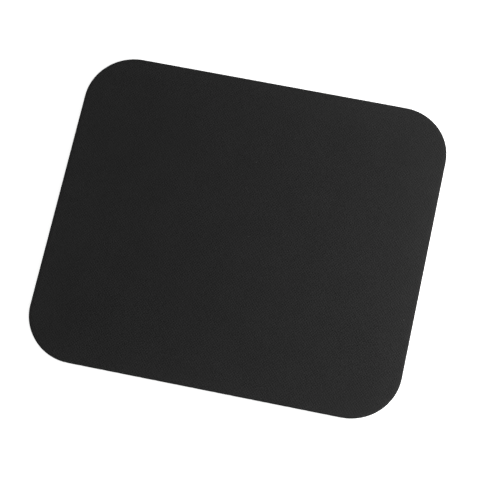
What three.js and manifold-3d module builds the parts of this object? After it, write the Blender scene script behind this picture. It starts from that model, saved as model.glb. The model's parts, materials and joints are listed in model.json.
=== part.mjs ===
// Desk mouse pad: a soft laminate, cut out whole by one steel-rule die.
// From the desk up it is a treaded rubber base, a foam core, a hot-melt film and a knitted cloth.
// Millimetres, +Z up, +X along the long side. The origin is the centre of the underside,
// on the plane where the tread lies on the desk.

import * as THREE from 'three';
import * as BufferGeometryUtils from 'three/addons/utils/BufferGeometryUtils.js';
import Module from 'manifold-3d';

const wasm = await Module();
wasm.setup();

// Outline of the cutting die, shared by all layers
const padWidth = 250;
const padDepth = 220;
const cornerRadius = 33.5;
const cornerFacets = 20;

// Layers, from the desk up
const gripBaseThickness = 0.75;
const foamCoreThickness = 1.625;
const bondingFilmThickness = 0.125;
const coverClothThickness = 0.5;

// The cut edge: the blade rounds the cloth over, and the foam springs back behind it
const clothEdgeRoll = 0.3;
const clothEdgeFacets = 4;
const foamWaistDepth = 0.25;
const foamWaistFacets = 6;
const filmSetback = 0.15;

// Tread moulded into the underside: wavy ribs that run across the pad
const ribPitch = 5;
const grooveWidth = 1.8;
const grooveDepth = 0.35;
const waveLength = 25;
const waveHeight = 4;
const facetsPerWave = 4;

// How far a blank runs past the outline that trims it
const trimOverrun = 2;

/** Points of the die's outline, moved in by inset, anticlockwise seen from above. */
function dieOutline(inset) {
  const radius = cornerRadius - inset;
  const cornerX = padWidth / 2 - cornerRadius;
  const cornerY = padDepth / 2 - cornerRadius;
  const outline = new THREE.Shape();
  outline.absarc(cornerX, cornerY, radius, 0, Math.PI / 2, false);
  outline.absarc(-cornerX, cornerY, radius, Math.PI / 2, Math.PI, false);
  outline.absarc(-cornerX, -cornerY, radius, Math.PI, Math.PI * 1.5, false);
  outline.absarc(cornerX, -cornerY, radius, Math.PI * 1.5, Math.PI * 2, false);
  return outline.getPoints(cornerFacets / 2);
}

/** Closed body lofted through outlines, one for each {inset, height} from the bottom up. */
function loftedLayer(levels) {
  const rings = levels.map(({ inset }) => dieOutline(inset));
  const ringSize = rings[0].length;
  const positions = [];
  levels.forEach(({ height }, level) => {
    rings[level].forEach((point) => positions.push(point.x, point.y, height));
  });

  const triangles = [];
  for (let level = 0; level < levels.length - 1; level += 1) {
    for (let i = 0; i < ringSize; i += 1) {
      const next = (i + 1) % ringSize;
      const low = level * ringSize;
      const high = low + ringSize;
      triangles.push(low + i, low + next, high + next);
      triangles.push(low + i, high + next, high + i);
    }
  }
  const lastRing = (levels.length - 1) * ringSize;
  THREE.ShapeUtils.triangulateShape(rings[0], []).forEach(([a, b, c]) => {
    triangles.push(c, b, a);
  });
  THREE.ShapeUtils.triangulateShape(rings[levels.length - 1], []).forEach(([a, b, c]) => {
    triangles.push(lastRing + a, lastRing + b, lastRing + c);
  });

  const geometry = new THREE.BufferGeometry();
  geometry.setAttribute('position', new THREE.Float32BufferAttribute(positions, 3));
  geometry.setIndex(triangles);
  return geometry;
}

/** Solid for a boolean, from any closed geometry. */
function toSolid(geometry) {
  const bare = geometry.clone();
  bare.deleteAttribute('normal');
  bare.deleteAttribute('uv');
  const merged = BufferGeometryUtils.mergeVertices(bare);
  return new wasm.Manifold(new wasm.Mesh({
    numProp: 3,
    vertProperties: new Float32Array(merged.attributes.position.array),
    triVerts: new Uint32Array(merged.index.array),
  }));
}

/** Geometry of the solid that a boolean gave. */
function fromSolid(solid) {
  const mesh = solid.getMesh();
  const geometry = new THREE.BufferGeometry();
  geometry.setAttribute('position', new THREE.BufferAttribute(mesh.vertProperties, 3));
  geometry.setIndex(new THREE.BufferAttribute(mesh.triVerts, 1));
  return geometry;
}

/** Sideways shift of a rib at x: none on a crest, such as the one at the pad's middle. */
function waveShift(x) {
  const wave = Math.cos(2 * Math.PI * x / waveLength);
  const flatCrest = Math.cos(Math.PI / facetsPerWave);
  return waveHeight * (wave / flatCrest - 1) / 2;
}

/** Section of the tread block in the Y-Z plane: flat on top, ribs and V grooves below. */
function treadSection() {
  const ribsPerSide = Math.ceil((padDepth / 2 + waveHeight + trimOverrun) / ribPitch);
  const landHalf = (ribPitch - grooveWidth) / 2;
  const end = ribsPerSide * ribPitch + landHalf;
  const section = new THREE.Shape();
  section.moveTo(-end, gripBaseThickness);
  for (let rib = -ribsPerSide; rib <= ribsPerSide; rib += 1) {
    const middle = rib * ribPitch;
    section.lineTo(middle - landHalf, 0);
    section.lineTo(middle + landHalf, 0);
    if (rib < ribsPerSide) {
      section.lineTo(middle + ribPitch / 2, grooveDepth);
    }
  }
  section.lineTo(end, gripBaseThickness);
  section.closePath();
  return section;
}

/**
 * Block of tread larger than the pad: the section run along X, each step shifted by the wave.
 * The odd number of steps puts a flat crest across the pad's middle, alike on both sides.
 */
function treadBlock() {
  const wavesPerSide = Math.ceil((padWidth / 2 + trimOverrun) / waveLength);
  const stepLength = waveLength / facetsPerWave;
  const steps = 2 * wavesPerSide * facetsPerWave + 1;
  const blockLength = steps * stepLength;
  const block = new THREE.ExtrudeGeometry(treadSection(), {
    depth: blockLength,
    steps,
    bevelEnabled: false,
  });
  const alongX = new THREE.Vector3(1, 0, 0);
  const alongY = new THREE.Vector3(0, 1, 0);
  const alongZ = new THREE.Vector3(0, 0, 1);
  block.applyMatrix4(new THREE.Matrix4().makeBasis(alongY, alongZ, alongX));
  block.translate(-blockLength / 2, 0, 0);
  const position = block.attributes.position;
  for (let i = 0; i < position.count; i += 1) {
    position.setY(i, position.getY(i) + waveShift(position.getX(i)));
  }
  return block;
}

/** Rubber base: the tread block trimmed to the die's outline. */
function gripBaseGeometry() {
  const trim = loftedLayer([
    { inset: 0, height: -trimOverrun },
    { inset: 0, height: gripBaseThickness + trimOverrun },
  ]);
  return fromSolid(toSolid(treadBlock()).intersect(toSolid(trim)));
}

/** Foam core: its cut wall is hollow, deepest halfway up. */
function foamCoreGeometry() {
  const levels = [];
  for (let i = 0; i <= foamWaistFacets; i += 1) {
    const share = i / foamWaistFacets;
    levels.push({
      inset: foamWaistDepth * Math.sin(Math.PI * share),
      height: foamCoreThickness * share,
    });
  }
  return loftedLayer(levels);
}

/** Hot-melt film: a plain sheet, a little behind the cut edge. */
function bondingFilmGeometry() {
  return loftedLayer([
    { inset: filmSetback, height: 0 },
    { inset: filmSetback, height: bondingFilmThickness },
  ]);
}

/** Knitted cloth: upright at the cut, rounded over into the working face. */
function coverClothGeometry() {
  const levels = [{ inset: 0, height: 0 }];
  for (let i = 0; i <= clothEdgeFacets; i += 1) {
    const angle = (Math.PI / 2) * (i / clothEdgeFacets);
    levels.push({
      inset: clothEdgeRoll * (1 - Math.cos(angle)),
      height: coverClothThickness - clothEdgeRoll * (1 - Math.sin(angle)),
    });
  }
  return loftedLayer(levels);
}

/** Named mesh of one layer, with its underside at height. */
function layer(name, geometry, height, finish) {
  geometry.computeVertexNormals();
  const mesh = new THREE.Mesh(geometry, new THREE.MeshStandardMaterial(finish));
  mesh.name = name;
  mesh.position.z = height;
  return mesh;
}

const blackRubber = { color: 0x1b1b1c, roughness: 0.85, metalness: 0 };
const blackFoam = { color: 0x161617, roughness: 0.95, metalness: 0 };
const milkyFilm = { color: 0x8f8d86, roughness: 0.5, metalness: 0 };
const blackJersey = { color: 0x2a2a2a, roughness: 0.95, metalness: 0 };

const foamSeat = gripBaseThickness;
const filmSeat = foamSeat + foamCoreThickness;
const clothSeat = filmSeat + bondingFilmThickness;

const mousePad = new THREE.Group();
mousePad.add(
  layer('grip_base', gripBaseGeometry(), 0, blackRubber),
  layer('foam_core', foamCoreGeometry(), foamSeat, blackFoam),
  layer('bonding_film', bondingFilmGeometry(), filmSeat, milkyFilm),
  layer('cover_cloth', coverClothGeometry(), clothSeat, blackJersey),
);

export default mousePad;
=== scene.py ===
"""Looks of a desk mouse pad: black jersey cloth on foam, over a treaded rubber base.

Metres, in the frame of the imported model: +X along the long side, +Z up, and the desk
under the pad at zero.
"""

import json
import logging
import math
import random
from collections.abc import Callable
from dataclasses import dataclass
from enum import Enum

import bpy
from mathutils import Matrix, Vector, noise

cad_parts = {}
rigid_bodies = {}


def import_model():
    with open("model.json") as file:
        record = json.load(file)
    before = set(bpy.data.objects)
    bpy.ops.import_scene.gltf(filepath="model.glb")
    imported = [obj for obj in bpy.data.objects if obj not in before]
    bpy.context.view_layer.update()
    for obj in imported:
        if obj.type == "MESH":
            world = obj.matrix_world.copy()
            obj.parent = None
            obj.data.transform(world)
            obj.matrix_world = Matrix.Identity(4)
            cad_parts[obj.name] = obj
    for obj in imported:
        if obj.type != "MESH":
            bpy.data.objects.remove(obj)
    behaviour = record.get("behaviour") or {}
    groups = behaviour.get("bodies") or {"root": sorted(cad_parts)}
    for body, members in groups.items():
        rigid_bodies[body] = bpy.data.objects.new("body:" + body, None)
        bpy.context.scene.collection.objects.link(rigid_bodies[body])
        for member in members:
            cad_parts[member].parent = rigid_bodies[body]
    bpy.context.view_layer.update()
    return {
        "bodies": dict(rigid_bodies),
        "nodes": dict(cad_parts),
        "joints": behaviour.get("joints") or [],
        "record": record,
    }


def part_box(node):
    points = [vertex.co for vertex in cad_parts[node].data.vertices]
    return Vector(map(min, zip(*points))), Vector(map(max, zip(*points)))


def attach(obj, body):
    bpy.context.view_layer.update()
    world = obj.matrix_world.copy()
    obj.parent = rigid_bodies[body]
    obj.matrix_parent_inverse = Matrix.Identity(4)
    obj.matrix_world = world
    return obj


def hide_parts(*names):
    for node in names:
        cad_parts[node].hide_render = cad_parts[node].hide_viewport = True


LOG = logging.getLogger("mouse_pad")
SEED = 7
MM = 0.001
Colour = tuple[float, float, float, float]
WHITE: Colour = (1.0, 1.0, 1.0, 1.0)


class Layer(Enum):
    """The layers of the laminate, by the names of their CAD nodes."""

    CLOTH = "cover_cloth"
    FILM = "bonding_film"
    FOAM = "foam_core"
    BASE = "grip_base"


@dataclass(frozen=True)
class DieCut:
    """Outline that the steel-rule die cuts through every layer.

    Attributes:
        width: Full size along X.
        depth: Full size along Y.
        corner_radius: Radius of the four corners.
    """

    width: float
    depth: float
    corner_radius: float = 33.5 * MM

    @classmethod
    def from_frame(cls) -> "DieCut":
        """Takes the width and depth from the CAD cloth."""
        low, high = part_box(Layer.CLOTH.value)
        return cls(width=high.x - low.x, depth=high.y - low.y)

    def area(self) -> float:
        """Gives the area inside the outline."""
        lost = (4 - math.pi) * self.corner_radius**2
        return self.width * self.depth - lost

    def core(self) -> tuple[float, float]:
        """Gives half the size, along X and Y, of the rectangle between the corners' centres."""
        return self.width / 2 - self.corner_radius, self.depth / 2 - self.corner_radius

    def sides(self) -> tuple[tuple[float, float], ...]:
        """Lists the four straight sides.

        Returns:
            Each side's length and its distance from the middle, anticlockwise from the right.
        """
        upright = (self.depth - 2 * self.corner_radius, self.width / 2)
        level = (self.width - 2 * self.corner_radius, self.depth / 2)
        return upright, level, upright, level

    def rim_length(self) -> float:
        """Gives the length of the outline."""
        return sum(length for length, _ in self.sides()) + 2 * math.pi * self.corner_radius

    def rim_point(self, walk: float) -> tuple[Vector, Vector]:
        """Finds a place on the outline.

        Args:
            walk: How far along the outline, anticlockwise from the lower end of the right
                side. A longer walk goes round again.

        Returns:
            The point and its outward direction, both flat.
        """
        arc = math.pi / 2 * self.corner_radius
        turn = 0.0
        for length, across in self.sides():
            outward = Vector((math.cos(turn), math.sin(turn), 0))
            along = Vector((-math.sin(turn), math.cos(turn), 0))
            if walk < length:
                return outward * across + along * (walk - length / 2), outward
            walk -= length
            if walk < arc:
                centre = outward * (across - self.corner_radius) + along * (length / 2)
                angle = turn + walk / self.corner_radius
                outward = Vector((math.cos(angle), math.sin(angle), 0))
                return centre + outward * self.corner_radius, outward
            walk -= arc
            turn += math.pi / 2
        return self.rim_point(walk)

    def _from_core(self, point: Vector) -> Vector:
        """Measures the flat step to a point from the rectangle between the corners' centres.

        Args:
            point: The point, whose height doesn't matter.

        Returns:
            The shortest such step, none for a point within the rectangle.
        """
        core_x, core_y = self.core()
        nearest_x = max(-core_x, min(core_x, point.x))
        nearest_y = max(-core_y, min(core_y, point.y))
        return Vector((point.x - nearest_x, point.y - nearest_y, 0))

    def margin(self, point: Vector) -> float:
        """Gives a point's distance from the outline, inside it and at most the corner radius."""
        return self.corner_radius - self._from_core(point).length

    def inward(self, point: Vector) -> Vector:
        """Finds the way from the rim to the inside.

        Args:
            point: A point on or near the outline, whose height doesn't matter.

        Returns:
            The flat unit direction, square to the outline.
        """
        away = self._from_core(point)
        if abs(away.x) > 0 and abs(away.y) > 0:
            return -away.normalized()
        if abs(away.x) > abs(away.y):
            return Vector((-math.copysign(1, away.x), 0, 0))
        return Vector((0, -math.copysign(1, away.y), 0))


class Bench:
    """Hand moves of the modelling bench, made of operator calls."""

    # An edge longer than this runs along a straight side, and a shorter one round a corner
    side_edge = 2 * MM
    # Heights that differ by less are one level
    level_slack = 0.001 * MM

    @staticmethod
    def clear_selection() -> None:
        """Deselects every object."""
        bpy.ops.object.select_all(action="DESELECT")

    @staticmethod
    def adopt(name: str) -> bpy.types.Object:
        """Names the object that was just added, and its mesh.

        Args:
            name: The name for both.

        Returns:
            The object.
        """
        piece = bpy.context.view_layer.objects.active
        piece.name = name
        piece.data.name = name
        return piece

    @staticmethod
    def activate(piece: bpy.types.Object) -> None:
        """Makes a piece the one that is selected and active.

        Args:
            piece: The piece.
        """
        Bench.clear_selection()
        piece.select_set(True)
        bpy.context.view_layer.objects.active = piece

    @staticmethod
    def deselect_mesh(piece: bpy.types.Object) -> None:
        """Leaves edit mode and deselects every part of a mesh.

        Args:
            piece: The piece whose mesh it is.
        """
        bpy.ops.object.mode_set(mode="OBJECT")
        for parts in (piece.data.vertices, piece.data.edges, piece.data.polygons):
            parts.foreach_set("select", [False] * len(parts))

    @staticmethod
    def select_edges(piece: bpy.types.Object, wanted: Callable[[Vector, Vector], bool]) -> None:
        """Selects edges by their places, and goes to edit mode.

        Args:
            piece: The piece whose edges they are.
            wanted: Says of an edge's two ends whether it is one of them.
        """
        Bench.deselect_mesh(piece)
        vertices = piece.data.vertices
        for edge in piece.data.edges:
            one, other = edge.vertices
            edge.select = wanted(vertices[one].co, vertices[other].co)
        bpy.ops.object.mode_set(mode="EDIT")
        bpy.ops.mesh.select_mode(type="EDGE")

    @staticmethod
    def select_sides(piece: bpy.types.Object) -> None:
        """Selects the edges along the straight sides of a blank."""
        Bench.select_edges(piece, lambda one, other: (one - other).length > Bench.side_edge)

    @staticmethod
    def select_level(piece: bpy.types.Object, level: float) -> None:
        """Selects the edges whose two ends lie at one height.

        Args:
            piece: The piece whose edges they are.
            level: The height.
        """
        Bench.select_edges(
            piece,
            lambda one, other: max(abs(one.z - level), abs(other.z - level)) < Bench.level_slack,
        )

    @staticmethod
    def cut_blank(
        name: str, die: DieCut, height: float, arc_facets: int, cuts: tuple[int, ...]
    ) -> bpy.types.Object:
        """Makes a flat sheet of the die's outline and leaves it in edit mode.

        Args:
            name: Name of the new piece.
            die: The outline.
            height: Level of the sheet above the desk.
            arc_facets: Facets round each corner.
            cuts: Cuts along each straight side, one number for each pass.

        Returns:
            The new piece.
        """
        Bench.clear_selection()
        bpy.ops.mesh.primitive_plane_add(size=1, location=(0, 0, 0))
        piece = Bench.adopt(name)
        bpy.ops.object.mode_set(mode="EDIT")
        bpy.ops.mesh.select_all(action="SELECT")
        bpy.ops.transform.resize(value=(die.width, die.depth, 1), center_override=(0, 0, 0))
        bpy.ops.transform.translate(value=(0, 0, height))
        bpy.ops.mesh.bevel(
            offset=die.corner_radius,
            offset_type="OFFSET",
            segments=arc_facets,
            affect="VERTICES",
        )
        for number in cuts:
            Bench.select_sides(piece)
            bpy.ops.mesh.subdivide(number_cuts=number)
        bpy.ops.mesh.select_all(action="SELECT")
        return piece

    @staticmethod
    def raise_wall(rise: float, steps: int) -> None:
        """Extrudes what is selected upward in equal steps.

        Args:
            rise: Height of the whole wall.
            steps: Number of steps.
        """
        for _ in range(steps):
            bpy.ops.mesh.extrude_region_move(
                TRANSFORM_OT_translate={"value": (0, 0, rise / steps)}
            )

    @staticmethod
    def finish(piece: bpy.types.Object, smooth_angle: float) -> None:
        """Leaves edit mode with the faces outward and the shading smooth.

        Args:
            piece: The piece that is being edited.
            smooth_angle: Widest angle, in degrees, that is shaded smooth.
        """
        bpy.ops.mesh.select_all(action="SELECT")
        bpy.ops.mesh.normals_make_consistent(inside=False)
        bpy.ops.object.mode_set(mode="OBJECT")
        Bench.smooth(piece, smooth_angle)

    @staticmethod
    def smooth(piece: bpy.types.Object, smooth_angle: float) -> None:
        """Shades a piece smooth up to an angle, and deselects it.

        Args:
            piece: The piece.
            smooth_angle: Widest angle, in degrees, that is shaded smooth.
        """
        Bench.activate(piece)
        bpy.ops.object.shade_smooth_by_angle(angle=math.radians(smooth_angle))
        Bench.clear_selection()


class NodeBench:
    """Small helper that adds and links shader nodes in one tree."""

    def __init__(self, tree: bpy.types.NodeTree) -> None:
        """Keeps the tree that the nodes go into."""
        self.tree = tree

    def add(self, kind: str, **settings: object) -> bpy.types.Node:
        """Adds a node.

        Args:
            kind: Its type.
            settings: Values of its properties, by name.

        Returns:
            The node.
        """
        node = self.tree.nodes.new(kind)
        for name, value in settings.items():
            setattr(node, name, value)
        return node

    def feed(self, socket: bpy.types.NodeSocket, value: object) -> None:
        """Links an output to a socket, or sets the socket's own value.

        Args:
            socket: The socket that is fed.
            value: An output, or a number, vector or colour.
        """
        if isinstance(value, bpy.types.NodeSocket):
            self.tree.links.new(value, socket)
        else:
            socket.default_value = value

    def math(self, operation: str, *values: object) -> bpy.types.NodeSocket:
        """Adds a Math node.

        Args:
            operation: What it works out.
            values: What feeds its inputs, in order.

        Returns:
            Its output.
        """
        node = self.add("ShaderNodeMath", operation=operation)
        for socket, value in zip(node.inputs, values):
            self.feed(socket, value)
        return node.outputs[0]

    def split(self, vector: object) -> bpy.types.bpy_prop_collection:
        """Splits a vector into outputs named X, Y and Z.

        Args:
            vector: The vector.

        Returns:
            The outputs.
        """
        node = self.add("ShaderNodeSeparateXYZ")
        self.feed(node.inputs[0], vector)
        return node.outputs

    def scaled(self, vector: object, factor: object) -> bpy.types.NodeSocket:
        """Scales a vector or a colour.

        Args:
            vector: The vector or colour.
            factor: The factor, the same for all three parts.

        Returns:
            The scaled vector.
        """
        node = self.add("ShaderNodeVectorMath", operation="SCALE")
        self.feed(node.inputs[0], vector)
        self.feed(node.inputs["Scale"], factor)
        return node.outputs[0]

    def spread(
        self, value: object, low: float, high: float, to_low: float, to_high: float
    ) -> bpy.types.NodeSocket:
        """Maps a value smoothly from one range to another, held at the ends.

        Args:
            value: The value.
            low: Where its range starts.
            high: Where its range ends.
            to_low: What the start becomes.
            to_high: What the end becomes.

        Returns:
            The mapped value.
        """
        node = self.add("ShaderNodeMapRange", interpolation_type="SMOOTHSTEP")
        for socket, number in zip(node.inputs, (value, low, high, to_low, to_high)):
            self.feed(socket, number)
        return node.outputs[0]

    def around_one(self, value: object, spread: float) -> bpy.types.NodeSocket:
        """Turns a value between 0 and 1 into a factor that strays evenly from 1."""
        return self.spread(value, 0.0, 1.0, 1 - spread, 1 + spread)

    def texture(self, kind: str, vector: object, scale: object, **settings: object) -> bpy.types.Node:
        """Adds a Noise or Voronoi texture.

        Args:
            kind: Its node type.
            vector: The place that it is read at.
            scale: Its scale.
            settings: Values of its properties, by name.

        Returns:
            The node.
        """
        node = self.add(kind, **settings)
        self.feed(node.inputs["Vector"], vector)
        self.feed(node.inputs["Scale"], scale)
        return node

    def tones(self, value: object, dark: object, light: object) -> bpy.types.NodeSocket:
        """Mixes two colours by a value.

        Args:
            value: 0 for the dark colour, 1 for the light one.
            dark: The dark colour.
            light: The light colour.

        Returns:
            The mixed colour.
        """
        node = self.add("ShaderNodeMix", data_type="RGBA")
        self.feed(node.inputs["Factor"], value)
        self.feed(node.inputs["A"], dark)
        self.feed(node.inputs["B"], light)
        return node.outputs["Result"]


def new_group(
    name: str, inputs: dict[str, float | None], outputs: tuple[str, ...]
) -> tuple[bpy.types.NodeTree, NodeBench, bpy.types.Node, bpy.types.Node]:
    """Starts a shader node group.

    Args:
        name: Name of the group.
        inputs: Input names with their default values; None makes a vector input.
        outputs: Names of the value outputs.

    Returns:
        The tree, its bench, and its input and output nodes.
    """
    tree = bpy.data.node_groups.new(name, "ShaderNodeTree")
    for label, value in inputs.items():
        kind = "NodeSocketVector" if value is None else "NodeSocketFloat"
        socket = tree.interface.new_socket(label, in_out="INPUT", socket_type=kind)
        if value is not None:
            socket.default_value = value
    for label in outputs:
        tree.interface.new_socket(label, in_out="OUTPUT", socket_type="NodeSocketFloat")
    bench = NodeBench(tree)
    return tree, bench, bench.add("NodeGroupInput"), bench.add("NodeGroupOutput")


def use_group(
    bench: NodeBench, tree: bpy.types.NodeTree, vector: object, **values: float
) -> bpy.types.Node:
    """Places a shared group in a material with its own values.

    Args:
        bench: The material's bench.
        tree: The group.
        vector: What feeds the group's Vector input.
        values: Values of the other inputs, by name.

    Returns:
        The group node.
    """
    node = bench.add("ShaderNodeGroup", node_tree=tree)
    bench.feed(node.inputs["Vector"], vector)
    for label, value in values.items():
        node.inputs[label].default_value = value
    return node


class SurfaceEffects:
    """Node groups that the finishes place in their materials, each built once."""

    def __init__(self, die: DieCut) -> None:
        """Builds the groups.

        Args:
            die: The outline of the pad that they cover.
        """
        self.rim = self._rim(die)
        self.knit = self._knit()
        self.mottle = self._mottle()
        self.foam_cells = self._foam_cells()
        self.lint = self._lint()

    @staticmethod
    def _rim(die: DieCut) -> bpy.types.NodeTree:
        """Nearness to the cut: 1 at the outline, and falling away towards the middle.

        Args:
            die: The outline.

        Returns:
            The group.
        """
        tree, bench, given, out = new_group("rim", {"Vector": None, "Reach": 20 * MM}, ("Nearness",))
        place = bench.split(given.outputs["Vector"])
        core_x, core_y = die.core()
        past_x = bench.math("SUBTRACT", bench.math("ABSOLUTE", place["X"]), core_x)
        past_y = bench.math("SUBTRACT", bench.math("ABSOLUTE", place["Y"]), core_y)
        corner_x = bench.math("MAXIMUM", past_x, 0.0)
        corner_y = bench.math("MAXIMUM", past_y, 0.0)
        squares = bench.math("MULTIPLY_ADD", corner_x, corner_x, bench.math("POWER", corner_y, 2.0))
        inside = bench.math("MINIMUM", bench.math("MAXIMUM", past_x, past_y), 0.0)
        beyond_core = bench.math("ADD", bench.math("SQRT", squares), inside)
        beyond_rim = bench.math("SUBTRACT", beyond_core, die.corner_radius)
        steepness = bench.math("DIVIDE", beyond_rim, given.outputs["Reach"])
        bench.feed(out.inputs["Nearness"], bench.math("EXPONENT", steepness))
        return tree

    @staticmethod
    def _strayed(
        bench: NodeBench, vector: object, scale: float, reach: object
    ) -> bpy.types.NodeSocket:
        """Moves a vector about by a smooth noise, so that a pattern loses its rigid grid.

        Args:
            bench: The group's bench.
            vector: The vector to move.
            scale: Scale of the noise.
            reach: How far it moves.

        Returns:
            The moved vector.
        """
        octaves, middle = 1.0, (0.5, 0.5, 0.5)
        wander = bench.texture("ShaderNodeTexNoise", vector, scale)
        bench.feed(wander.inputs["Detail"], octaves)
        centred = bench.add("ShaderNodeVectorMath", operation="SUBTRACT")
        bench.feed(centred.inputs[0], wander.outputs["Color"])
        bench.feed(centred.inputs[1], middle)
        moved = bench.add("ShaderNodeVectorMath", operation="ADD")
        bench.feed(moved.inputs[0], vector)
        bench.feed(moved.inputs[1], bench.scaled(centred.outputs[0], reach))
        return moved.outputs[0]

    @classmethod
    def _knit(cls) -> bpy.types.NodeTree:
        """Jersey from its face: fine V stitches, raised in a chequer of small pebbles.

        Returns:
            The group, which puts out the height of a stitch and of a pebble.
        """
        tree, bench, given, out = new_group(
            "jersey_knit",
            {"Vector": None, "Wale": 0.5 * MM, "Course": 0.37 * MM, "Stray": 0.6 * MM},
            ("Stitch", "Pebble"),
        )
        drift_scale, wobble_scale = 120.0, 500.0
        reach = given.outputs["Stray"]
        drifted = cls._strayed(bench, given.outputs["Vector"], drift_scale, reach)
        place = bench.split(cls._strayed(bench, drifted, wobble_scale, reach))
        column = bench.math("DIVIDE", place["X"], given.outputs["Wale"])
        row = bench.math("DIVIDE", place["Y"], given.outputs["Course"])

        # Each stitch is a V of two legs, which lean towards the middle of their wale
        leg_roundness, loop_roundness, leg_lean = 0.6, 0.7, 1.7
        from_middle = bench.math("ABSOLUTE", bench.math("SUBTRACT", bench.math("FRACT", column), 0.5))
        across = bench.math("SINE", bench.math("MULTIPLY", from_middle, 2 * math.pi))
        leg = bench.math("POWER", bench.math("ABSOLUTE", across), leg_roundness)
        lean = bench.math("SUBTRACT", row, bench.math("MULTIPLY", from_middle, leg_lean))
        turn = bench.math("SINE", bench.math("MULTIPLY", lean, math.pi))
        loop = bench.math("POWER", bench.math("ABSOLUTE", turn), loop_roundness)
        bench.feed(out.inputs["Stitch"], bench.math("MULTIPLY", leg, loop))

        # The pebbles of the weave span a few stitches each
        wales_per_pebble, courses_per_pebble, flat_top = 2.0, 3.0, 0.8
        along = bench.math("COSINE", bench.math("MULTIPLY", column, math.pi / wales_per_pebble))
        up = bench.math("COSINE", bench.math("MULTIPLY", row, math.pi / courses_per_pebble))
        chequer = bench.math("MULTIPLY", along, up)
        bench.feed(out.inputs["Pebble"], bench.spread(chequer, -flat_top, flat_top, 0.0, 1.0))
        return tree

    @staticmethod
    def _mottle() -> bpy.types.NodeTree:
        """Uneven tone at two sizes, centred on a half.

        Returns:
            The group.
        """
        tree, bench, given, out = new_group(
            "mottle", {"Vector": None, "Coarse": 60.0, "Fine": 900.0}, ("Coarse", "Fine")
        )
        octaves, least, most = 3.0, 0.25, 0.75
        for label in ("Coarse", "Fine"):
            cloud = bench.texture("ShaderNodeTexNoise", given.outputs["Vector"], given.outputs[label])
            bench.feed(cloud.inputs["Detail"], octaves)
            level = bench.spread(cloud.outputs["Fac"], least, most, 0.0, 1.0)
            bench.feed(out.inputs[label], level)
        return tree

    @staticmethod
    def _foam_cells() -> bpy.types.NodeTree:
        """Cut foam: round pits with thin walls between them.

        Returns:
            The group, which puts out 1 on a wall, and 1 deep in a pit.
        """
        tree, bench, given, out = new_group(
            "foam_cells", {"Vector": None, "Scale": 4000.0}, ("Wall", "Pit")
        )
        cell = bench.texture(
            "ShaderNodeTexVoronoi",
            given.outputs["Vector"],
            given.outputs["Scale"],
            feature="DISTANCE_TO_EDGE",
        )
        from_wall = cell.outputs["Distance"]
        wall_core, wall_edge = 0.02, 0.18
        pit_edge, pit_floor = 0.05, 0.45
        bench.feed(out.inputs["Wall"], bench.spread(from_wall, wall_core, wall_edge, 1.0, 0.0))
        bench.feed(out.inputs["Pit"], bench.spread(from_wall, pit_edge, pit_floor, 0.0, 1.0))
        return tree

    @staticmethod
    def _lint() -> bpy.types.NodeTree:
        """Sparse pale specks, as dust lies on cloth and rubber.

        Returns:
            The group, which puts out 1 on a speck; Amount is the share of cells with one.
        """
        tree, bench, given, out = new_group(
            "lint", {"Vector": None, "Scale": 260.0, "Amount": 0.5}, ("Speck",)
        )
        cell = bench.texture("ShaderNodeTexVoronoi", given.outputs["Vector"], given.outputs["Scale"])
        speck_core, speck_edge = 0.03, 0.08
        speck = bench.spread(cell.outputs["Distance"], speck_core, speck_edge, 1.0, 0.0)
        draw = bench.split(cell.outputs["Color"])["X"]
        chosen = bench.math("LESS_THAN", draw, given.outputs["Amount"])
        bench.feed(out.inputs["Speck"], bench.math("MULTIPLY", speck, chosen))
        return tree


def grey(tone: float) -> Colour:
    """Gives a neutral linear colour."""
    return (tone, tone, tone, 1.0)


@dataclass(frozen=True)
class Finish:
    """What every finish sets on its shader.

    Attributes:
        label: Name of the material.
        roughness: Base roughness.
        specular: Specular level.
    """

    label: str
    roughness: float
    specular: float = 0.5

    def start(self) -> tuple[bpy.types.Material, NodeBench, bpy.types.Node, bpy.types.NodeSocket]:
        """Makes the material with its plain sockets set.

        Returns:
            The material, its bench, the shader, and the Object coordinate output.
        """
        material = bpy.data.materials.new(self.label)
        material.use_nodes = True
        bench = NodeBench(material.node_tree)
        shader = material.node_tree.nodes["Principled BSDF"]
        shader.inputs["Roughness"].default_value = self.roughness
        shader.inputs["Specular IOR Level"].default_value = self.specular
        coordinates = bench.add("ShaderNodeTexCoord")
        return material, bench, shader, coordinates.outputs["Object"]

    @staticmethod
    def emboss(bench: NodeBench, shader: bpy.types.Node, height: object, depth: float) -> None:
        """Feeds a height to the shader's normal through a Bump node.

        Args:
            bench: The material's bench.
            shader: The shader.
            height: The height, from 0 to 1.
            depth: What a height of 1 measures.
        """
        bump = bench.add("ShaderNodeBump")
        bump.inputs["Distance"].default_value = depth
        bench.feed(bump.inputs["Height"], height)
        bench.feed(shader.inputs["Normal"], bump.outputs["Normal"])


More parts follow.
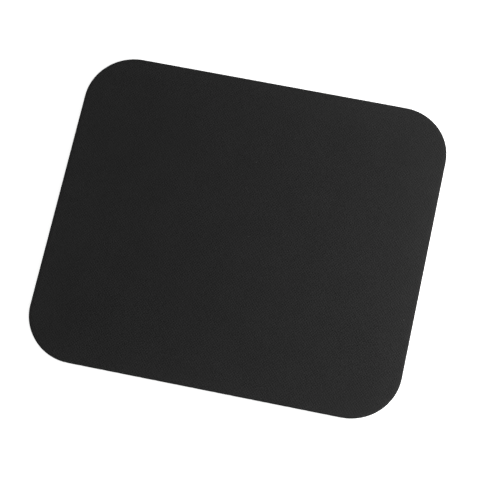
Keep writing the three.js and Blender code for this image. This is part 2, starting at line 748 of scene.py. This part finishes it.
@dataclass(frozen=True)
class JerseyFinish(Finish):
    """Black polyester jersey, matt, with a fine pebbled knit.

    Attributes:
        crown_highlight: Linear tone on top of a pebble, painted lighter as a highlight.
        hollow: Linear tone in the hollows between pebbles, painted darker as shade.
        gap_shade: Share of the tone that is left in the painted shade between two stitches.
        gap_shade_height: Height of a stitch below which that painted shade shows.
        grain: How far the tone strays from yarn to yarn.
        cloud: How far the tone strays from place to place.
        nap_and_sheen_share: How much paler the cloth is painted at the rim than in the middle, partly
            for its unworn napped face and partly as a painted sheen along the rim.
        nap_and_sheen_reach: How far in from the rim the paler cloth runs.
        lint: Linear tone of a speck of lint.
        relief: Height of a pebble.
        stitch_share: Height of a stitch, as a share of a pebble's.
        fuzz_share: Height of the yarn's fuzz, as a share of a pebble's.
    """

    crown_highlight: float = 0.0188
    hollow: float = 0.0163
    gap_shade: float = 0.7
    gap_shade_height: float = 0.45
    grain: float = 0.12
    cloud: float = 0.03
    nap_and_sheen_share: float = 0.186
    nap_and_sheen_reach: float = 20 * MM
    lint: float = 0.05
    relief: float = 0.085 * MM
    stitch_share: float = 0.45
    fuzz_share: float = 1.0

    def build(self, effects: SurfaceEffects) -> bpy.types.Material:
        """Makes the material.

        Args:
            effects: The shared node groups.

        Returns:
            The material.
        """
        material, bench, shader, place = self.start()
        knit = use_group(bench, effects.knit, place)
        mottle = use_group(bench, effects.mottle, place, Coarse=45.0, Fine=1500.0)
        lint = use_group(bench, effects.lint, place, Scale=160.0, Amount=0.06)
        rim = use_group(bench, effects.rim, place, Reach=self.nap_and_sheen_reach)
        pebble, stitch = knit.outputs["Pebble"], knit.outputs["Stitch"]

        # Painted shade: the gaps between stitches are painted darker, as if in shade.
        gap_shading = bench.spread(stitch, 0.0, self.gap_shade_height, self.gap_shade, 1.0)
        grain = bench.around_one(mottle.outputs["Fine"], self.grain)
        cloud = bench.around_one(mottle.outputs["Coarse"], self.cloud)
        # Painted sheen: the cloth is painted paler towards the rim, which also stands for its unworn
        # face there.
        nap_and_sheen = bench.math("MULTIPLY_ADD", rim.outputs["Nearness"], self.nap_and_sheen_share, 1.0)
        # The tone strays at random and carries the painted shade of the gaps.
        uneven = bench.math("MULTIPLY", bench.math("MULTIPLY", grain, cloud), gap_shading)
        # Painted highlight and shade: pebble tops are painted lighter and the hollows between them
        # darker.
        shaded_pebbles = bench.tones(pebble, grey(self.hollow), grey(self.crown_highlight))
        toned = bench.scaled(shaded_pebbles, bench.math("MULTIPLY", uneven, nap_and_sheen))
        dusted = bench.tones(lint.outputs["Speck"], toned, grey(self.lint))
        bench.feed(shader.inputs["Base Color"], dusted)
        bench.feed(
            shader.inputs["Roughness"], bench.spread(stitch, 0.0, 1.0, 1.0, self.roughness)
        )

        stitches = bench.math("MULTIPLY", stitch, self.stitch_share)
        fuzz = bench.math("MULTIPLY", mottle.outputs["Fine"], self.fuzz_share)
        height = bench.math("ADD", pebble, bench.math("ADD", stitches, fuzz))
        self.emboss(bench, shader, height, self.relief)
        return material


@dataclass(frozen=True, kw_only=True)
class MottledFinish(Finish):
    """Two tones in soft patches, over a faint relief.

    Attributes:
        dark: Linear colour of the dark patches.
        light: Linear colour of the light ones.
        coarse: Scale of the patches.
        fine: Scale of the relief.
        relief: Height of the relief.
    """

    dark: Colour
    light: Colour
    coarse: float
    fine: float
    relief: float = 0.01 * MM

    def build(self, effects: SurfaceEffects) -> bpy.types.Material:
        """Makes the material.

        Args:
            effects: The shared node groups.

        Returns:
            The material.
        """
        material, bench, shader, place = self.start()
        mottle = use_group(bench, effects.mottle, place, Coarse=self.coarse, Fine=self.fine)
        tone = bench.tones(mottle.outputs["Coarse"], self.dark, self.light)
        bench.feed(shader.inputs["Base Color"], tone)
        self.emboss(bench, shader, mottle.outputs["Fine"], self.relief)
        return material


@dataclass(frozen=True)
class YarnFinish(MottledFinish):
    """Filament yarn at the cut, mottled paler and darker than the face; its paler tone is a painted
    sheen that makes the cut rim read as a bright line.
    """

    dark: Colour = grey(0.014)
    # Painted sheen: the yarn's pale tone, well above the cloth's, makes the rim read as a bright
    # line.
    light: Colour = grey(0.035)
    coarse: float = 700.0
    fine: float = 6000.0


@dataclass(frozen=True)
class FilmFinish(MottledFinish):
    """Milky hot-melt film, seen as a hairline at the cut and darker where the cloth soaked it up."""

    dark: Colour = (0.02, 0.02, 0.019, 1.0)
    light: Colour = (0.045, 0.044, 0.041, 1.0)
    coarse: float = 200.0
    fine: float = 2600.0


@dataclass(frozen=True)
class FoamFinish(Finish):
    """Black foam rubber with its cells laid open by the cut.

    Attributes:
        wall: Linear tone of the thin walls between cells.
        pit: Linear tone deep in a cell, painted darker as the shade inside it.
        cloud: How far the tone strays from place to place.
        relief: Depth of a cell.
        fuzz_share: Height of the torn walls, as a share of a cell's depth.
    """

    wall: float = 0.018
    pit: float = 0.006
    cloud: float = 0.15
    relief: float = 0.05 * MM
    fuzz_share: float = 0.4

    def build(self, effects: SurfaceEffects) -> bpy.types.Material:
        """Makes the material.

        Args:
            effects: The shared node groups.

        Returns:
            The material.
        """
        material, bench, shader, place = self.start()
        cells = use_group(bench, effects.foam_cells, place, Scale=5200.0)
        mottle = use_group(bench, effects.mottle, place, Coarse=120.0, Fine=2400.0)
        # Painted shade: the cells' pits are painted darker than their walls.
        cut = bench.tones(cells.outputs["Wall"], grey(self.pit), grey(self.wall))
        cloud = bench.around_one(mottle.outputs["Coarse"], self.cloud)
        bench.feed(shader.inputs["Base Color"], bench.scaled(cut, cloud))
        raised = bench.math("SUBTRACT", 1.0, cells.outputs["Pit"])
        torn = bench.math("MULTIPLY", mottle.outputs["Fine"], self.fuzz_share)
        self.emboss(bench, shader, bench.math("ADD", raised, torn), self.relief)
        return material


@dataclass(frozen=True)
class RubberFinish(Finish):
    """Black moulded rubber with a fine mould grain and a little grey bloom.

    Attributes:
        black: Linear tone of clean rubber.
        bloom: Linear tone where the rubber has bloomed.
        bloom_roughness: Roughness where the rubber has bloomed.
        bloom_start: Level of the coarse mottle at which the bloom sets in.
        groove_shade_and_wear_share: Tone of the grooves and the cut, as a share of the lands' tone:
            painted shade in these recesses, partly also for the lands' rubbed paler face.
        shade_and_wear_height: Height above the desk up to which the tone falls from the lands' to
            that of the grooves.
        dust: Linear tone of a speck of dust.
        relief: Height of the mould grain.
    """

    black: float = 0.0078
    bloom: float = 0.0105
    bloom_roughness: float = 0.75
    bloom_start: float = 0.35
    groove_shade_and_wear_share: float = 0.55
    shade_and_wear_height: float = 0.15 * MM
    dust: float = 0.04
    relief: float = 0.02 * MM

    def build(self, effects: SurfaceEffects) -> bpy.types.Material:
        """Makes the material.

        Args:
            effects: The shared node groups.

        Returns:
            The material.
        """
        material, bench, shader, place = self.start()
        mottle = use_group(bench, effects.mottle, place, Coarse=35.0, Fine=3200.0)
        dust = use_group(bench, effects.lint, place, Scale=220.0, Amount=0.12)
        bloomed = bench.spread(mottle.outputs["Coarse"], self.bloom_start, 1.0, 0.0, 1.0)
        tone = bench.tones(bloomed, grey(self.black), grey(self.bloom))
        height = bench.split(place)["Z"]
        # Painted shade: the grooves and the cut are painted darker, partly also for the rubbed lands
        # being paler.
        groove_shade_and_wear = bench.spread(height, 0.0, self.shade_and_wear_height, 1.0, self.groove_shade_and_wear_share)
        dusted = bench.tones(dust.outputs["Speck"], bench.scaled(tone, groove_shade_and_wear), grey(self.dust))
        bench.feed(shader.inputs["Base Color"], dusted)
        rough = bench.spread(
            mottle.outputs["Coarse"], 0.0, 1.0, self.roughness, self.bloom_roughness
        )
        bench.feed(shader.inputs["Roughness"], rough)
        self.emboss(bench, shader, mottle.outputs["Fine"], self.relief)
        return material


@dataclass
class CoverCloth:
    """Jersey face: cut ragged at the rim and drawn softly over the edge.

    Attributes:
        die: The outline.
        edge_roll: Radius of the rounded top edge.
        roll_share: Share of that radius that the bevel takes, to end short of the wall's ring.
        roll_facets: Facets round the top edge.
        wall_rows: Rows of faces up the cut, below the rounded edge.
        arc_facets: Facets round each corner.
        side_cuts: Cuts along each straight side, one number for each pass.
        ragged: How far in from the outline the cut lies on average; at most it is twice that.
        ragged_pitch: Distance over which the cut strays.
        ragged_reach: How far in from the outline the cloth strays with it.
        ripple: How far the face sags between ripples, at most.
        ripple_size: Distance from one ripple to the next.
        drawn_share: How much thinner the die leaves the cloth at the rim.
        drawn_width: How far in from the rim it is thinner.
        drawn_rings: Rings of faces over that width.
        face_grid: Size of the squares that the flat face is cut into.
        smooth_angle: Widest angle, in degrees, that is shaded smooth.
    """

    die: DieCut
    edge_roll: float = 0.3 * MM
    roll_share: float = 0.98
    roll_facets: int = 5
    wall_rows: int = 2
    arc_facets: int = 96
    side_cuts: tuple[int, ...] = (19, 19)
    ragged: float = 0.05 * MM
    ragged_pitch: float = 0.8 * MM
    ragged_reach: float = 0.36 * MM
    ripple: float = 0.035 * MM
    ripple_size: float = 26 * MM
    drawn_share: float = 0.45
    drawn_width: float = 2.8 * MM
    drawn_rings: int = 6
    face_grid: float = 5 * MM
    smooth_angle: float = 40.0

    def build(self) -> bpy.types.Object:
        """Models the cloth.

        Returns:
            The cloth.
        """
        low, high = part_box(Layer.CLOTH.value)
        piece = Bench.cut_blank("cloth_face", self.die, low.z, self.arc_facets, self.side_cuts)
        Bench.raise_wall(high.z - low.z - self.edge_roll, self.wall_rows)
        Bench.raise_wall(self.edge_roll, 1)
        Bench.select_level(piece, high.z)
        bpy.ops.mesh.bevel(
            offset=self.edge_roll * self.roll_share,
            offset_type="OFFSET",
            segments=self.roll_facets,
            affect="EDGES",
        )
        self._grid_face(piece, high.z)
        Bench.finish(piece, self.smooth_angle)
        self._fray(piece, low.z, high.z - low.z)
        return piece

    def _grid_face(self, piece: bpy.types.Object, top: float) -> None:
        """Cuts the flat face into rings and squares, so that it can sag and ripple.

        Args:
            piece: The cloth.
            top: Level of the face.
        """
        Bench.deselect_mesh(piece)
        upper = [face for face in piece.data.polygons if face.center.z > top - self.edge_roll]
        max(upper, key=lambda face: face.area).select = True
        bpy.ops.object.mode_set(mode="EDIT")
        bpy.ops.mesh.select_mode(type="FACE")
        for _ in range(self.drawn_rings):
            bpy.ops.mesh.inset(thickness=self.drawn_width / self.drawn_rings, depth=0)
        for axis, span in ((0, self.die.width), (1, self.die.depth)):
            count = int(span / 2 / self.face_grid)
            for step in range(-count, count + 1):
                self._slice(axis, step * self.face_grid)

    @staticmethod
    def _slice(axis: int, place: float) -> None:
        """Cuts the selected faces across X or Y.

        Args:
            axis: 0 for a cut across X, 1 for one across Y.
            place: Where along that axis.
        """
        point, normal = [0.0, 0.0, 0.0], [0.0, 0.0, 0.0]
        point[axis], normal[axis] = place, 1.0
        bpy.ops.mesh.bisect(plane_co=point, plane_no=normal)
        bpy.ops.mesh.select_mode(type="FACE")

    def _fray(self, piece: bpy.types.Object, bottom: float, thickness: float) -> None:
        """Draws the rim down, ripples the face and leaves the cut uneven.

        Args:
            piece: The cloth.
            bottom: Level of its underside.
            thickness: Its thickness away from the rim.
        """
        for vertex in piece.data.vertices:
            place = vertex.co.copy()
            margin = self.die.margin(place)
            swell = noise.noise(Vector((place.x, place.y, 0)) / self.ripple_size)
            drawn = self.drawn_share * max(0.0, 1 - margin / self.drawn_width) ** 2
            height = place.z - bottom
            sag = self.ripple * (1 - swell) / 2 * (height / thickness)
            vertex.co.z = bottom + height * (1 - drawn) - sag
            if margin < self.ragged_reach:
                jag = noise.noise(place / self.ragged_pitch)
                vertex.co += self.die.inward(place) * self.ragged * (1 + jag)


@dataclass
class CutYarns:
    """Ends of the jersey's yarns, left standing where the die cut them.

    Attributes:
        die: The outline.
        pitch: Distance from one end to the next along the rim.
        yarn: Diameter of a yarn.
        length: Length of the modelled end, mostly inside the cloth.
        proud: How far the middle of an end's tip stands out past the outline, at most.
        taper_shares: Width at the end of each section, root to tip, as a share of the yarn's.
        curl: How much farther each section steps sideways than the one before it.
        tilt: How far an end leans, in degrees, at most.
        sides: Sides of a yarn.
        seat_shares: Where in its pitch an end stands, lowest and highest.
        height_shares: Where in the cloth's thickness it stands, lowest and highest.
        least_share: Least share of the proud length that shows.
        smooth_angle: Widest angle, in degrees, that is shaded smooth.
    """

    die: DieCut
    pitch: float = 0.34 * MM
    yarn: float = 0.11 * MM
    length: float = 0.45 * MM
    proud: float = 0.17 * MM
    taper_shares: tuple[float, ...] = (1.0, 0.85, 0.4)
    curl: float = 0.02 * MM
    tilt: float = 28.0
    sides: int = 5
    seat_shares: tuple[float, float] = (0.1, 0.9)
    height_shares: tuple[float, float] = (0.12, 0.42)
    least_share: float = 0.2
    smooth_angle: float = 60.0

    def build(self) -> bpy.types.Object:
        """Models one end and sets copies of it round the rim.

        Returns:
            All the ends, as one piece.
        """
        low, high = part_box(Layer.CLOTH.value)
        pattern = self._yarn_end()
        count = round(self.die.rim_length() / self.pitch)
        ends = [self._place(pattern, index, low.z, high.z) for index in range(count)]
        bpy.data.objects.remove(pattern)
        Bench.activate(ends[0])
        for end in ends:
            end.select_set(True)
        bpy.ops.object.join()
        piece = Bench.adopt("cut_yarns")
        bpy.ops.object.transform_apply(location=True, rotation=True, scale=True)
        Bench.smooth(piece, self.smooth_angle)
        return piece

    def _yarn_end(self) -> bpy.types.Object:
        """Models one yarn end that points up, thin and curled at the tip.

        Returns:
            The end, with its root at the origin.
        """
        Bench.clear_selection()
        bpy.ops.mesh.primitive_circle_add(
            vertices=self.sides, radius=self.yarn / 2, fill_type="NGON", location=(0, 0, 0)
        )
        pattern = Bench.adopt("yarn_end")
        bpy.ops.object.mode_set(mode="EDIT")
        bpy.ops.mesh.select_all(action="SELECT")
        rise = self.length / len(self.taper_shares)
        centre = Vector((0, 0, 0))
        width = 1.0
        for step, share in enumerate(self.taper_shares):
            shift = Vector((self.curl * step, 0, rise))
            bpy.ops.mesh.extrude_region_move(TRANSFORM_OT_translate={"value": shift})
            centre += shift
            narrowing = share / width
            width = share
            bpy.ops.transform.resize(value=(narrowing, narrowing, 1), center_override=centre)
        Bench.finish(pattern, self.smooth_angle)
        return pattern

    def _place(
        self, pattern: bpy.types.Object, index: int, bottom: float, top: float
    ) -> bpy.types.Object:
        """Sets one copy of the yarn end in the rim.

        Args:
            pattern: The modelled end.
            index: Number of this end along the rim.
            bottom: Underside of the cloth.
            top: Working face of the cloth.

        Returns:
            The copy, with a mesh of its own.
        """
        seat = index + random.uniform(*self.seat_shares)
        point, outward = self.die.rim_point(seat * self.pitch)
        height = bottom + (top - bottom) * random.uniform(*self.height_shares)
        slope = math.radians(random.uniform(-self.tilt, self.tilt))
        swing = math.radians(random.uniform(-self.tilt, self.tilt))
        along = Vector((-outward.y, outward.x, 0))
        direction = outward + along * math.tan(swing) + Vector((0, 0, math.tan(slope)))
        direction.normalize()
        reach = self.proud * random.uniform(self.least_share, 1.0)
        root = point + outward * reach - direction * self.length
        root.z = height - direction.z * self.length / 2
        spin = Matrix.Rotation(random.uniform(0, 2 * math.pi), 4, "Z")
        end = pattern.copy()
        end.data = pattern.data.copy()
        turned = direction.to_track_quat("Z", "Y").to_matrix().to_4x4()
        end.matrix_world = Matrix.Translation(root) @ turned @ spin
        bpy.context.scene.collection.objects.link(end)
        return end


@dataclass
class FoamCore:
    """Foam layer with a hollow, pitted cut wall.

    Attributes:
        die: The outline.
        waist: How far the foam springs back halfway up the wall.
        wall_rows: Rows of faces up the wall.
        arc_facets: Facets round each corner.
        side_cuts: Cuts along each straight side, one number for each pass.
        cell_size: Distance from one torn cell to the next.
        cell_depth: Depth of a torn cell.
        cell_steepness: The cell size, divided by the radius of a torn cell.
        flush_share: Share of the wall's height, at top and bottom, that stays on the outline.
        smooth_angle: Widest angle, in degrees, that is shaded smooth.
    """

    die: DieCut
    waist: float = 0.25 * MM
    wall_rows: int = 9
    arc_facets: int = 150
    side_cuts: tuple[int, ...] = (24, 24)
    cell_size: float = 0.7 * MM
    cell_depth: float = 0.1 * MM
    cell_steepness: float = 1.6
    flush_share: float = 0.01
    smooth_angle: float = 50.0

    def build(self) -> bpy.types.Object:
        """Models the foam.

        Returns:
            The foam.
        """
        low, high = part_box(Layer.FOAM.value)
        piece = Bench.cut_blank("foam_body", self.die, low.z, self.arc_facets, self.side_cuts)
        Bench.raise_wall(high.z - low.z, self.wall_rows)
        Bench.finish(piece, self.smooth_angle)
        for vertex in piece.data.vertices:
            share = (vertex.co.z - low.z) / (high.z - low.z)
            if self.flush_share < share < 1 - self.flush_share:
                hollow = self.waist * math.sin(math.pi * share)
                from_centre = noise.voronoi(vertex.co / self.cell_size)[0][0]
                pit = self.cell_depth * max(0.0, 1 - from_centre * self.cell_steepness)
                vertex.co += self.die.inward(vertex.co) * (hollow + pit)
        return piece


@dataclass
class GripBase:
    """Rubber base with smooth wavy ribs on its underside.

    Attributes:
        die: The outline.
        rib_pitch: Distance from one rib to the next.
        groove_width: Width of the groove between two ribs.
        groove_depth: Depth of the groove.
        wave_length: Length of the ribs' wave.
        wave_height: Full height of the wave.
        wave_facets: Facets along one wave.
        groove_rows: Rows of faces across a groove.
        overrun: How far the sheet and the cutter run past what they trim.
        trim_arc_facets: Facets round each corner of the cutter.
        smooth_angle: Widest angle, in degrees, that is shaded smooth.
    """

    die: DieCut
    rib_pitch: float = 5 * MM
    groove_width: float = 1.8 * MM
    groove_depth: float = 0.35 * MM
    wave_length: float = 25 * MM
    wave_height: float = 4 * MM
    wave_facets: int = 12
    groove_rows: int = 6
    overrun: float = 2 * MM
    trim_arc_facets: int = 48
    smooth_angle: float = 35.0

    def build(self) -> bpy.types.Object:
        """Models the base.

        Returns:
            The base.
        """
        _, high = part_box(Layer.BASE.value)
        piece = self._tread_sheet()
        self._close_block(piece, high.z)
        self._trim(piece, high.z)
        return piece

    def wave(self, x: float) -> float:
        """Gives the sideways shift of a rib at x, none at the middle."""
        return self.wave_height * (math.cos(2 * math.pi * x / self.wave_length) - 1) / 2

    def _row(self, index: int) -> tuple[float, float]:
        """Places one row of the tread sheet, before the wave.

        Args:
            index: Number of the row, 0 in the middle of a groove.

        Returns:
            Its Y place and its height.
        """
        rib, step = divmod(index + self.groove_rows // 2, self.groove_rows + 1)
        share = step / self.groove_rows - 0.5
        height = self.groove_depth * (1 + math.cos(2 * math.pi * share)) / 2
        return (rib - 0.5) * self.rib_pitch + self.groove_width * share, height

    def _tread_sheet(self) -> bpy.types.Object:
        """Makes the underside as one sheet, wider than the die.

        Returns:
            The sheet, which becomes the base.
        """
        ribs = math.ceil((self.die.depth / 2 + self.wave_height + self.overrun) / self.rib_pitch)
        waves = math.ceil((self.die.width / 2 + self.overrun) / self.wave_length)
        columns = 2 * waves * self.wave_facets
        # The flat land of each rib is one more row, next to those of its groove
        rows = 2 * ribs * (self.groove_rows + 1)
        Bench.clear_selection()
        bpy.ops.mesh.primitive_grid_add(
            x_subdivisions=columns, y_subdivisions=rows, size=2, location=(0, 0, 0)
        )
        piece = Bench.adopt("treaded_base")
        # The new grid spans -1 to 1 both ways
        for vertex in piece.data.vertices:
            x = vertex.co.x * waves * self.wave_length
            y, z = self._row(round(vertex.co.y * rows / 2))
            vertex.co = (x, y + self.wave(x), z)
        return piece

    @staticmethod
    def _close_block(piece: bpy.types.Object, top: float) -> None:
        """Raises the sheet's border to the top of the base and closes it.

        Args:
            piece: The sheet.
            top: Level of the top.
        """
        Bench.activate(piece)
        bpy.ops.object.mode_set(mode="EDIT")
        bpy.ops.mesh.select_mode(type="EDGE")
        bpy.ops.mesh.select_all(action="DESELECT")
        bpy.ops.mesh.select_non_manifold()
        bpy.ops.mesh.extrude_region_move(TRANSFORM_OT_translate={"value": (0, 0, top)})
        bpy.ops.transform.resize(value=(1, 1, 0), center_override=(0, 0, top))
        bpy.ops.mesh.edge_face_add()
        bpy.ops.mesh.select_all(action="SELECT")
        bpy.ops.mesh.normals_make_consistent(inside=False)
        bpy.ops.object.mode_set(mode="OBJECT")

    def _trim(self, piece: bpy.types.Object, top: float) -> None:
        """Trims the block with the die's outline.

        Args:
            piece: The block.
            top: Level of its top.
        """
        cutter = Bench.cut_blank("die", self.die, -self.overrun, self.trim_arc_facets, ())
        Bench.raise_wall(top + 2 * self.overrun, 1)
        Bench.finish(cutter, self.smooth_angle)
        Bench.activate(piece)
        bpy.ops.object.modifier_add(type="BOOLEAN")
        trim = piece.modifiers[-1]
        trim.operation = "INTERSECT"
        trim.solver = "EXACT"
        trim.object = cutter
        bpy.ops.object.modifier_apply(modifier=trim.name)
        bpy.data.objects.remove(cutter)
        Bench.smooth(piece, self.smooth_angle)


@dataclass
class MousePad:
    """The whole pad, layer by layer.

    Attributes:
        die: The outline.
    """

    frame: dict
    die: DieCut

    def build(self) -> list[bpy.types.Object]:
        """Builds each layer, dresses it and ties it to the CAD body.

        Returns:
            The new pieces.
        """
        cloth = CoverCloth(self.die).build()
        yarns = CutYarns(self.die).build()
        foam = FoamCore(self.die).build()
        base = GripBase(self.die).build()
        film = self.frame["nodes"][Layer.FILM.value]
        effects = SurfaceEffects(self.die)
        for piece, finish in (
            (cloth, JerseyFinish("black_jersey", roughness=0.92, specular=0.06)),
            (yarns, YarnFinish("cut_yarn", roughness=0.7, specular=0.2)),
            (foam, FoamFinish("cut_foam", roughness=0.95, specular=0.06)),
            (base, RubberFinish("moulded_rubber", roughness=0.6, specular=0.35)),
            (film, FilmFinish("hot_melt_film", roughness=0.5)),
        ):
            piece.data.materials.clear()
            piece.data.materials.append(finish.build(effects))
        self._tie(cloth, Layer.CLOTH)
        self._tie(foam, Layer.FOAM)
        self._tie(base, Layer.BASE)
        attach(yarns, self._body())
        self.die.area()
        return [cloth, yarns, foam, base]

    def _body(self) -> str:
        """Gives the name of the one body that the pad is."""
        return next(iter(self.frame["bodies"]))

    def _tie(self, piece: bpy.types.Object, layer: Layer) -> None:
        """Lets a piece ride on the body in place of a layer's CAD node.

        Args:
            piece: The piece.
            layer: The layer that it stands for.
        """
        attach(piece, self._body())
        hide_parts(layer.value)


@dataclass(frozen=True)
class Softbox:
    """A square lamp that is aimed at the pad.

    Attributes:
        name: Name of the lamp.
        place: Where it stands.
        size: Length of its sides.
        watts: Its power.
    """

    name: str
    place: tuple[float, float, float]
    size: float
    watts: float

    def build(self, target: Vector) -> None:
        """Adds the lamp and turns it to the target.

        Args:
            target: The place that it is aimed at.
        """
        lamp = bpy.data.lights.new(self.name, "AREA")
        lamp.shape = "SQUARE"
        lamp.size = self.size
        lamp.energy = self.watts
        holder = bpy.data.objects.new(self.name, lamp)
        bpy.context.scene.collection.objects.link(holder)
        holder.visible_camera = False
        holder.location = self.place
        aim = target - Vector(self.place)
        holder.rotation_euler = aim.to_track_quat("-Z", "Y").to_euler()


@dataclass
class Studio:
    """Camera, lamps, world and floor.

    Attributes:
        target: Where the camera looks.
        azimuth: Degrees that the camera stands round to the right of the front.
        elevation: Degrees that it looks down.
        roll: Degrees that it is turned about its own axis.
        distance: Distance from the camera to the target.
        lens_mm: Focal length of its lens.
        world_level: Strength of the even light from all round.
        floor_tone: Linear tone of the floor.
        floor_glow: What the floor shows beyond the light that falls on it, to look white.
        floor_span: Depth of the floor.
        floor_lap: How far the floor reaches in under the rim of the pad.
        floor_drop: How far it lies below the pad.
        floor_arc_facets: Facets round each corner of the floor.
        key_lamp: The lamp at the right, which grazes the cloth.
        front_lamp: The low, far lamp that lights the cut at the front.
    """

    target: tuple[float, float, float] = (1.55 * MM, -4.99 * MM, 3 * MM)
    azimuth: float = 20.26
    elevation: float = 70.41
    roll: float = -8.33
    distance: float = 1.4585
    lens_mm: float = 164.46
    world_level: float = 0.335
    floor_tone: float = 0.85
    floor_glow: float = 0.76
    floor_span: float = 8.0
    floor_lap: float = 1.5 * MM
    floor_drop: float = 0.02 * MM
    floor_arc_facets: int = 24
    key_lamp: Softbox = Softbox("right_softbox", (0.55, 0.055, 0.21), size=0.25, watts=6.65)
    front_lamp: Softbox = Softbox("front_softbox", (1.05, -1.7, 0.2), size=0.6, watts=25.0)

    def build(self, die: DieCut) -> None:
        """Sets up the whole studio round a pad.

        Args:
            die: The pad's outline.
        """
        self._camera()
        self._world()
        self._floor(die)
        for lamp in (self.key_lamp, self.front_lamp):
            lamp.build(Vector(self.target))
        bpy.context.scene.view_settings.view_transform = "Standard"

    @staticmethod
    def _in_view(bench: NodeBench) -> bpy.types.NodeSocket:
        """Tells a look from light: 1 where a thing is seen, straight, mirrored or through glass.

        Args:
            bench: The bench of the tree that asks.

        Returns:
            1 for a look, 0 for light.
        """
        path = bench.add("ShaderNodeLightPath")
        mirrored = bench.math(
            "MAXIMUM", path.outputs["Is Glossy Ray"], path.outputs["Is Transmission Ray"]
        )
        return bench.math("MAXIMUM", path.outputs["Is Camera Ray"], mirrored)

    def _camera(self) -> None:
        """Puts the camera at the photograph's angle."""
        turn, lift = math.radians(self.azimuth), math.radians(self.elevation)
        flat = math.cos(lift)
        back = Vector((math.sin(turn) * flat, -math.cos(turn) * flat, math.sin(lift)))
        right = Vector((math.cos(turn), math.sin(turn), 0))
        upward = back.cross(right)
        level = Matrix((right, upward, back)).transposed()
        pose = level @ Matrix.Rotation(math.radians(self.roll), 3, "Z")
        lens = bpy.data.cameras.new("camera")
        lens.lens = self.lens_mm
        camera = bpy.data.objects.new("camera", lens)
        bpy.context.scene.collection.objects.link(camera)
        place = Matrix.Translation(Vector(self.target) + back * self.distance)
        camera.matrix_world = place @ pose.to_4x4()
        bpy.context.scene.camera = camera

    def _world(self) -> None:
        """Lights all round evenly, and shows plain white behind."""
        world = bpy.data.worlds.new("studio")
        bpy.context.scene.world = world
        world.use_nodes = True
        bench = NodeBench(world.node_tree)
        backdrop = world.node_tree.nodes["Background"]
        backdrop.inputs["Color"].default_value = WHITE
        level = bench.spread(self._in_view(bench), 0.0, 1.0, self.world_level, 1.0)
        bench.feed(backdrop.inputs["Strength"], level)

    def _floor(self, die: DieCut) -> None:
        """Lays a pale floor that keeps the shadow, open under the pad to show its tread.

        Args:
            die: The pad's outline.
        """
        opening = DieCut(
            die.width - 2 * self.floor_lap,
            die.depth - 2 * self.floor_lap,
            die.corner_radius - self.floor_lap,
        )
        floor = Bench.cut_blank("floor", opening, -self.floor_drop, self.floor_arc_facets, ())
        bpy.ops.mesh.delete(type="ONLY_FACE")
        bpy.ops.mesh.select_all(action="SELECT")
        bpy.ops.mesh.extrude_edges_move()
        growth = self.floor_span / opening.depth
        bpy.ops.transform.resize(
            value=(growth, growth, 1), center_override=(0, 0, -self.floor_drop)
        )
        Bench.finish(floor, 0.0)
        floor.data.materials.append(self._floor_finish())

    def _floor_finish(self) -> bpy.types.Material:
        """Makes the floor's material.

        Returns:
            The material.
        """
        material = bpy.data.materials.new("pale_floor")
        material.use_nodes = True
        bench = NodeBench(material.node_tree)
        shader = material.node_tree.nodes["Principled BSDF"]
        shader.inputs["Base Color"].default_value = grey(self.floor_tone)
        shader.inputs["Roughness"].default_value = 1.0
        shader.inputs["Specular IOR Level"].default_value = 0.0
        shader.inputs["Emission Color"].default_value = WHITE
        glow = bench.math("MULTIPLY", self._in_view(bench), self.floor_glow)
        bench.feed(shader.inputs["Emission Strength"], glow)
        return material


def main() -> None:
    """Loads the frame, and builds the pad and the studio."""
    logging.basicConfig(level=logging.INFO)
    random.seed(SEED)
    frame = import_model()
    die = DieCut.from_frame()
    for piece in MousePad(frame, die).build():
        LOG.info("%s: %d faces", piece.name, len(piece.data.polygons))
    Studio().build(die)


if __name__ == "__main__":
    main()
